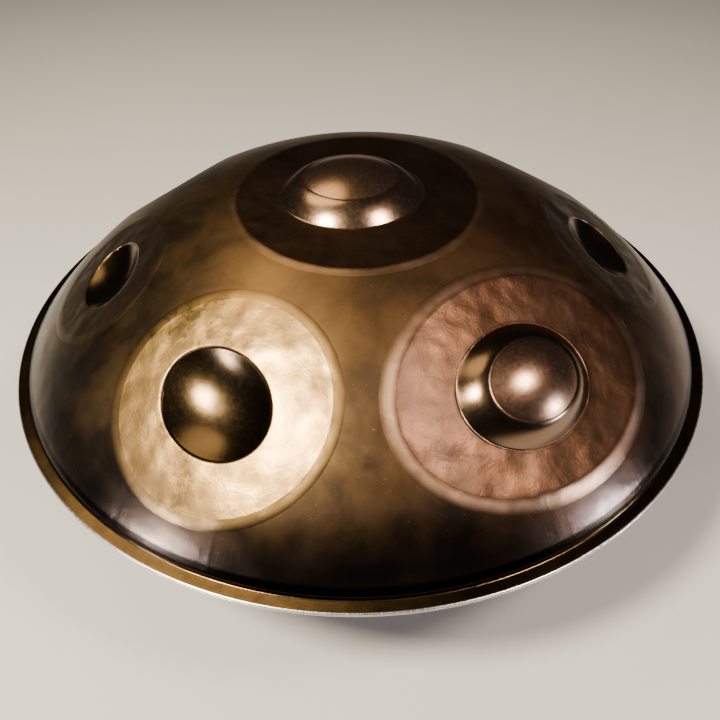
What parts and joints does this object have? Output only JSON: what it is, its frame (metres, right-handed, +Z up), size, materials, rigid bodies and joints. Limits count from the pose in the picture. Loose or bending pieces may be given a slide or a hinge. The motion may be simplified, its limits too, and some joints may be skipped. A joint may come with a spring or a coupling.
{
  "type": "handpan",
  "caption": "Round steel handpan: two domed shells glued at the flange, a centre dome and a ring of hammered tone fields on top, a port with a turned-in neck below.",
  "frame": {"origin": "centre of the flat resting ring under the bottom shell, at the surface it rests on", "axes": "+Z up through the port and the centre dome, so the port opens along -Z; -Y towards the player, where the two lowest side notes are; +X to the player's right"},
  "size_m": [0.53, 0.53, 0.243],
  "materials": {
    "top_steel": "heat-coloured bronze-brown patina, satin, polished domes and bowls",
    "bottom_steel": "heat-coloured brown patina, satin",
    "glue": "cured dark adhesive, flush with the edge"
  },
  "bodies": {
    "root": {"top_shell": "top_steel", "bottom_shell": "bottom_steel", "glue_seam": "glue"}
  },
  "joints": []
}
